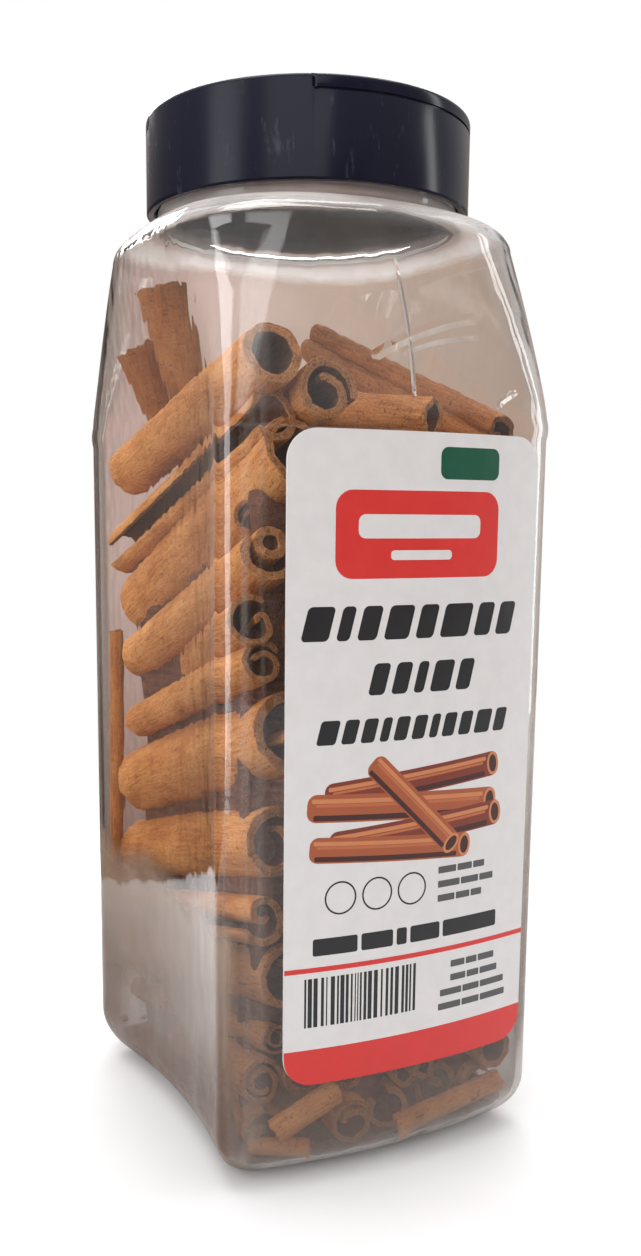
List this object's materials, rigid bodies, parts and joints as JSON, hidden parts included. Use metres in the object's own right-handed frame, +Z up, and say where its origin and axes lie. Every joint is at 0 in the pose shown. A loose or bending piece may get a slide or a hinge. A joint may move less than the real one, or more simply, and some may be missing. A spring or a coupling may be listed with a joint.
{
  "type": "jar of cinnamon sticks",
  "caption": "Clear square-shouldered jar with bowed grip sides, shut by a round two-flap cap, with a front label and filled with rolled cinnamon bark sticks.",
  "frame": {"origin": "on the jar's axis, at the height of the standing ring that it rests on", "axes": "+Z up along the jar's axis, -Y out of the labelled front panel, +X to the right seen from the front"},
  "size_m": [0.0736, 0.0878, 0.21],
  "materials": {
    "clear_plastic": "clear blow-moulded plastic, glossy",
    "cap_plastic": "near-black navy moulded plastic, glossy",
    "label_paper": "satin coated paper, off-white with red, green and dark printed fields",
    "cinnamon_bark": "dry matte rolled bark, tan-orange outside and dark brown inside"
  },
  "bodies": {
    "root": {"jar": "clear_plastic", "cap": "cap_plastic", "label": "label_paper", "cinnamon_sticks": "cinnamon_bark"}
  },
  "joints": []
}
